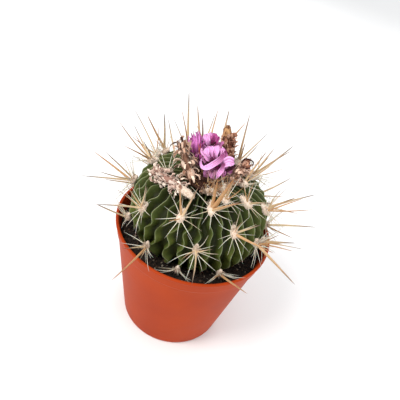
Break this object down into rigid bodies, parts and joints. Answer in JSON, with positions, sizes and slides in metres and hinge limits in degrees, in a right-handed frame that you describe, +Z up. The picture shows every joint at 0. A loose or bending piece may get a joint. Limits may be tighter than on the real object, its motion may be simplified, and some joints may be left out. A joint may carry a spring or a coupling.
{
  "type": "potted round cactus",
  "caption": "Globe-shaped ribbed cactus with long straw-coloured spines and small pink flowers on its crown, growing in a tapered terracotta-coloured plastic nursery pot.",
  "frame": {"origin": "middle of the pot's flat underside", "axes": "+Z up through the pot's middle, -Y towards the side that faces the picture's camera, +X to that camera's right"},
  "size_m": [0.1582, 0.1555, 0.1627],
  "materials": {
    "pot": "smooth semi-matt terracotta-coloured plastic",
    "soil": "dark crumbly peat soil",
    "stem": "dark green waxy skin with paler rib crests",
    "wool": "cream to brown-grey matted wool",
    "spines": "straw-coloured spines rising from cream wool",
    "petals": "soft pink petals with a darker magenta stripe",
    "withered": "dry papery tan and brown petals"
  },
  "bodies": {
    "root": {"pot": "pot", "soil": "soil", "cactus_body": "stem", "crown_wool": "wool", "flower_1": "petals", "flower_2": "petals", "flower_3": "petals", "dried_flower_1": "withered", "dried_flower_2": "withered", "dried_flower_3": "withered", "dried_flower_4": "withered", "spine_cluster_01": "spines", "spine_cluster_02": "spines", "spine_cluster_03": "spines", "spine_cluster_04": "spines", "spine_cluster_05": "spines", "spine_cluster_06": "spines", "spine_cluster_07": "spines", "spine_cluster_08": "spines", "spine_cluster_09": "spines", "spine_cluster_10": "spines", "spine_cluster_11": "spines", "spine_cluster_12": "spines", "spine_cluster_13": "spines", "spine_cluster_14": "spines", "spine_cluster_15": "spines", "spine_cluster_16": "spines", "spine_cluster_17": "spines", "spine_cluster_18": "spines", "spine_cluster_19": "spines", "spine_cluster_20": "spines", "spine_cluster_21": "spines", "spine_cluster_22": "spines", "spine_cluster_23": "spines", "spine_cluster_24": "spines", "spine_cluster_25": "spines", "spine_cluster_26": "spines", "spine_cluster_27": "spines", "spine_cluster_28": "spines", "spine_cluster_29": "spines", "spine_cluster_30": "spines", "spine_cluster_31": "spines", "spine_cluster_32": "spines", "spine_cluster_33": "spines", "spine_cluster_34": "spines", "spine_cluster_35": "spines", "spine_cluster_36": "spines"}
  },
  "joints": []
}
